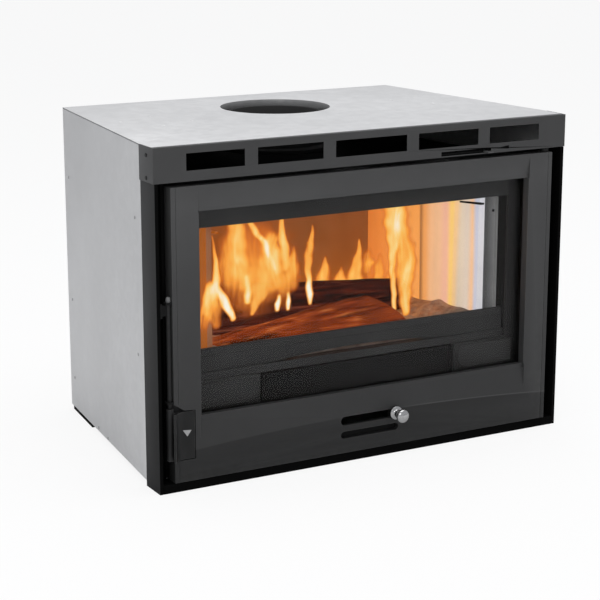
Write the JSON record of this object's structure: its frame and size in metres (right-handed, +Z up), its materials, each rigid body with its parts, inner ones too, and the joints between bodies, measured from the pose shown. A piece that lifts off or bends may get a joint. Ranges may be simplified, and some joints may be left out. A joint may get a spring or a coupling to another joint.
{
  "type": "fireplace insert",
  "caption": "Built-in wood-burning fireplace insert: tapered convection casing, lined firebox, black frame with slotted header and a glazed side-hinged door with latch and air slides.",
  "frame": {"origin": "centre of the bottom face of the bounding box, on the hearth the insert stands on", "axes": "+X to the right across the front, +Y from the front back into the wall, +Z up"},
  "size_m": [0.703, 0.4848, 0.503],
  "materials": {
    "galvanised": "galvanised sheet, satin",
    "black_sheet": "heat-proof black paint, matt",
    "black_iron": "cast iron, heat-proof black paint",
    "inner_steel": "blackened steel",
    "grey_steel": "bare steel",
    "polished_steel": "polished",
    "lining_board": "pressed vermiculite board, matt",
    "rope": "braided glass-fibre rope",
    "log": "split firewood, charring",
    "glass": "clear ceramic glass"
  },
  "bodies": {
    "root": {"casing_left": "galvanised", "casing_right": "galvanised", "casing_back": "galvanised", "casing_bottom": "galvanised", "casing_top": "galvanised", "foot_rear_left": "black_sheet", "foot_rear_right": "black_sheet", "frame_post_left": "black_sheet", "frame_post_right": "black_sheet", "frame_sill": "black_sheet", "header_grille": "black_sheet", "air_wash_guide": "inner_steel", "firebox_front": "inner_steel", "firebox_left": "inner_steel", "firebox_right": "inner_steel", "firebox_back": "inner_steel", "firebox_floor": "inner_steel", "firebox_roof": "inner_steel", "flue_spigot": "black_iron", "support_rail_left": "inner_steel", "support_rail_right": "inner_steel", "lining_left_front": "lining_board", "lining_left_rear": "lining_board", "lining_right_front": "lining_board", "lining_right_rear": "lining_board", "lining_back": "lining_board", "lining_strip_left": "grey_steel", "lining_strip_right": "grey_steel", "baffle_plate": "lining_board", "air_deflector": "inner_steel", "hearth_plate": "black_iron", "grate": "black_iron", "ash_guide_left": "inner_steel", "ash_guide_right": "inner_steel", "ash_pan": "inner_steel", "fire_fence": "black_iron", "fire_cheek_left": "black_iron", "fire_cheek_right": "black_iron", "log_front": "log", "log_rear": "log", "hinge_pin_bottom": "grey_steel", "hinge_pin_top": "grey_steel", "latch_keeper": "inner_steel"},
    "door": {"door_frame": "black_iron", "door_glass": "glass", "glass_retainer_left": "inner_steel", "glass_retainer_right": "inner_steel", "glass_retainer_bottom": "inner_steel", "glass_retainer_top": "inner_steel", "door_gasket": "rope", "latch_lug_upper": "inner_steel", "latch_lug_lower": "inner_steel", "air_slider_guide": "inner_steel"},
    "latch": {"latch_rod": "grey_steel", "latch_handle": "black_iron", "latch_tongue": "inner_steel"},
    "primary_air": {"air_slider": "inner_steel", "air_knob": "polished_steel"},
    "air_wash": {"air_wash_slide": "inner_steel", "air_wash_lever": "grey_steel"}
  },
  "joints": [
    {"name": "door_hinge", "type": "hinge", "parent": "root", "child": "door", "pos_m": [0.318, -0.20395, 0.23], "axis": [0, 0, 1], "range_deg": [0, 100]},
    {"name": "latch_turn", "type": "hinge", "parent": "door", "child": "latch", "pos_m": [-0.3305, -0.20795, 0.17], "axis": [0, 0, 1], "range_deg": [-60, 0]},
    {"name": "primary_air_slide", "type": "slide", "parent": "door", "child": "primary_air", "axis": [1, 0, 0], "range_m": [-0.09, 0]},
    {"name": "air_wash_slide", "type": "slide", "parent": "root", "child": "air_wash", "axis": [1, 0, 0], "range_m": [-0.078, 0]}
  ]
}
